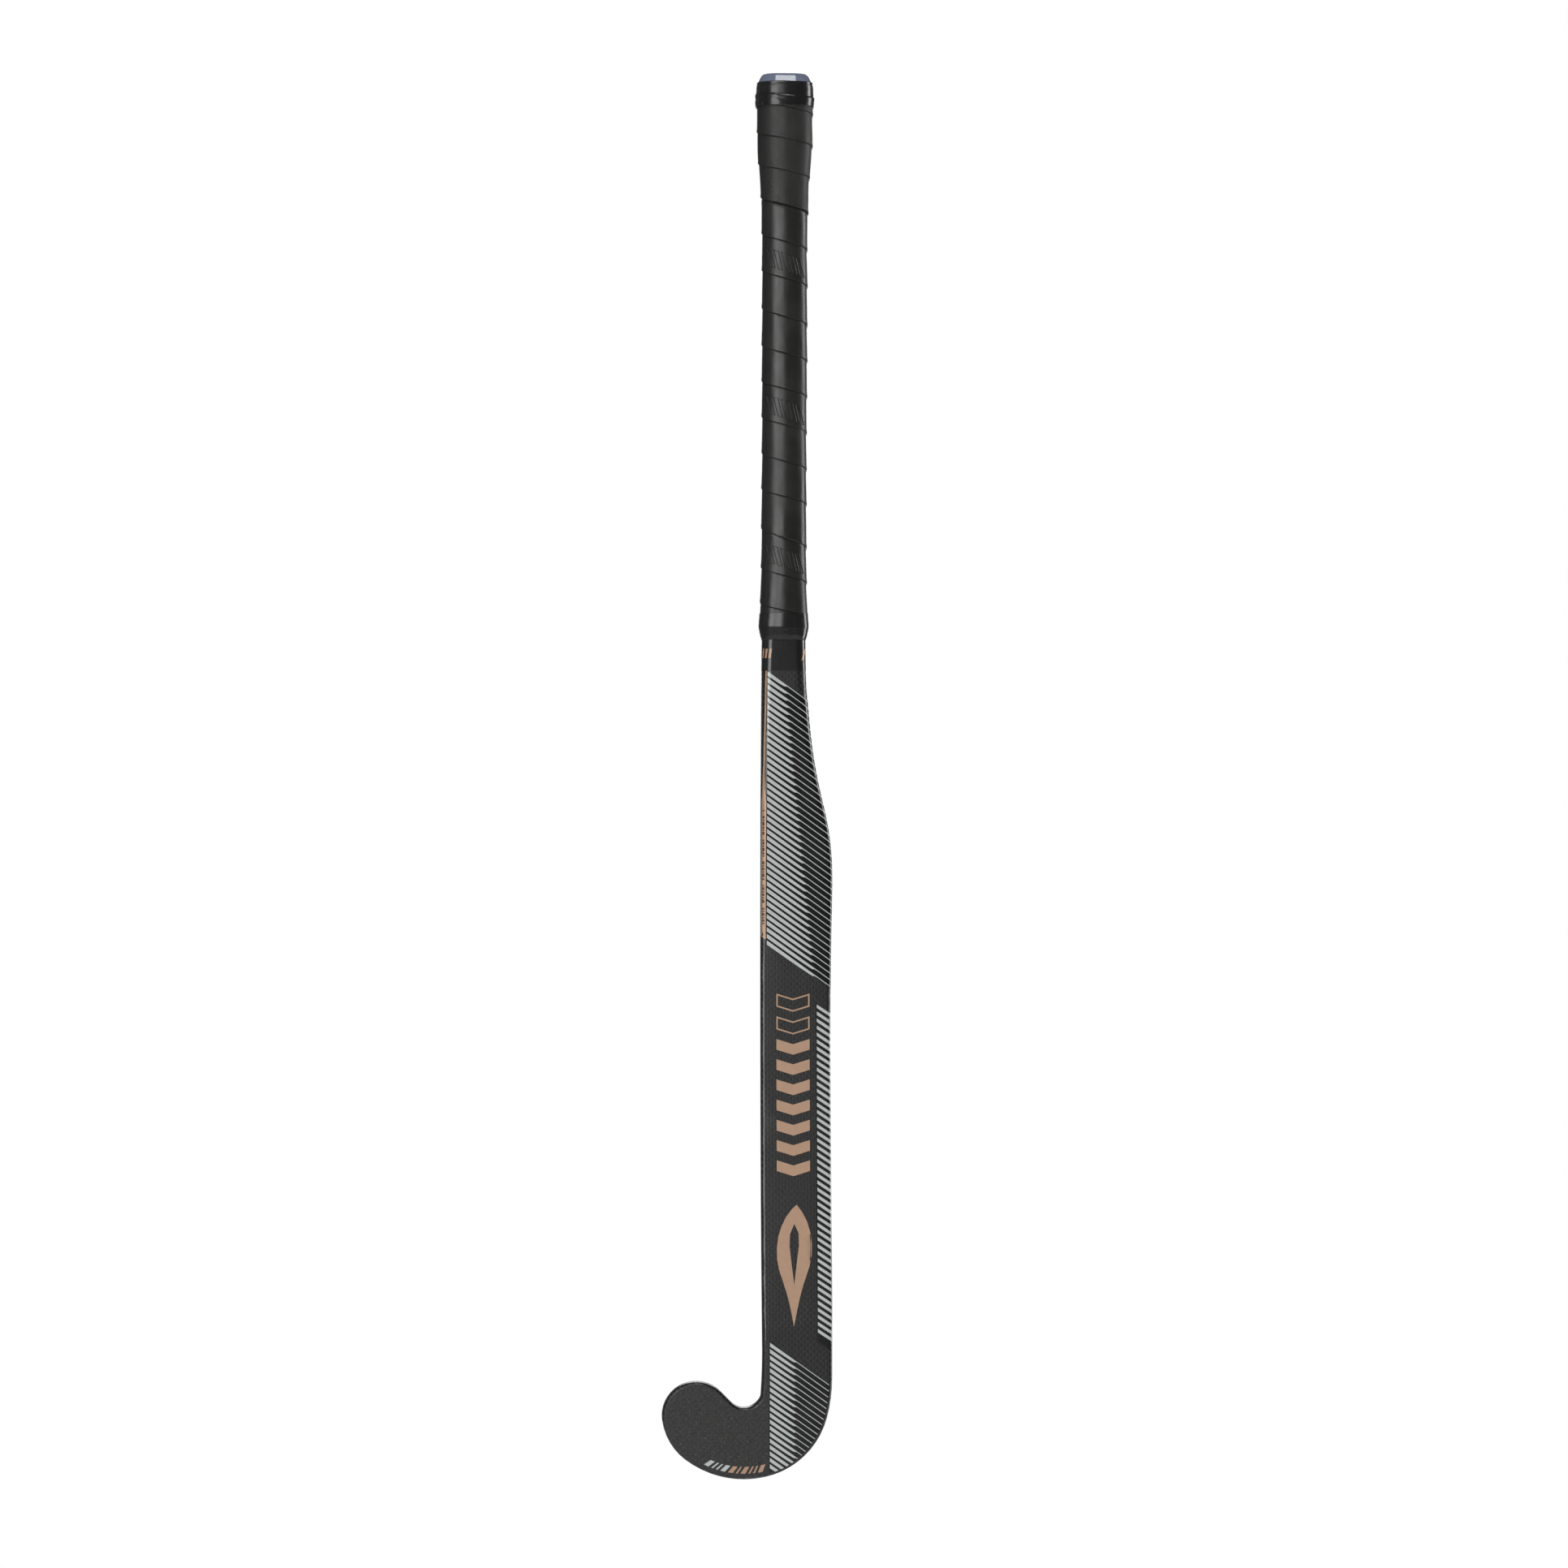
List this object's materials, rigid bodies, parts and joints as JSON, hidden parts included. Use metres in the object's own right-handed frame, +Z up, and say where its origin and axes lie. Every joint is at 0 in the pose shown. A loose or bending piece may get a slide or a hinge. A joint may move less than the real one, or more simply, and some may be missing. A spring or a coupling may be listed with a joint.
{
  "type": "field hockey stick",
  "caption": "Field hockey stick: bowed flat-faced composite shaft with a J hook, ribbed and smooth grip tape, a rounded end cap and printed stripe bands.",
  "frame": {"origin": "on the handle axis at the middle of the upper hand, 800 mm above the lowest point of the hook", "axes": "+Z up the shaft to the handle end, -Y out of the flat playing face, -X towards the toe of the hook"},
  "size_m": [0.113, 0.0407, 0.9271],
  "materials": {
    "carbon_laminate": "woven carbon fibre cloth under a satin clear coat",
    "glass_laminate": "glass fibre in amber-green resin, raw from the mould",
    "aramid_cloth": "yellow aramid cloth set in resin",
    "core_foam": "rigid closed-cell polyurethane foam",
    "flare_foam": "firm black foam build-up",
    "backing_tape": "thin cloth-backed adhesive tape",
    "grip_polyurethane": "black tacky polyurethane over felt, soft sheen",
    "vinyl_tape": "stretched glossy black vinyl tape with fine creases",
    "cap_plastic": "smoky blue-grey translucent plastic, polished",
    "black_lacquer": "plain satin black lacquer",
    "printed_film": "silver-grey print on clear film",
    "bronze_film": "bronze metallic print on clear film",
    "textured_coat": "gritty dark coat with fine mineral sparkle"
  },
  "bodies": {
    "root": {"carbon_shell": "carbon_laminate", "glass_fibre_liner": "glass_laminate", "aramid_hook_ply": "aramid_cloth", "head_foam_core": "core_foam", "shaft_web": "glass_laminate", "handle_plug": "core_foam", "butt_flare": "flare_foam", "grip_backing": "backing_tape", "smooth_grip": "grip_polyurethane", "ribbed_grip": "grip_polyurethane", "top_tape": "vinyl_tape", "lower_tape": "vinyl_tape", "end_cap": "cap_plastic", "collar_band": "black_lacquer", "upper_stripe_film": "printed_film", "side_strip_film": "bronze_film", "motif_film": "bronze_film", "edge_stripe_film": "printed_film", "heel_stripe_film": "printed_film", "head_marks_film": "bronze_film", "grip_coat": "textured_coat"}
  },
  "joints": []
}
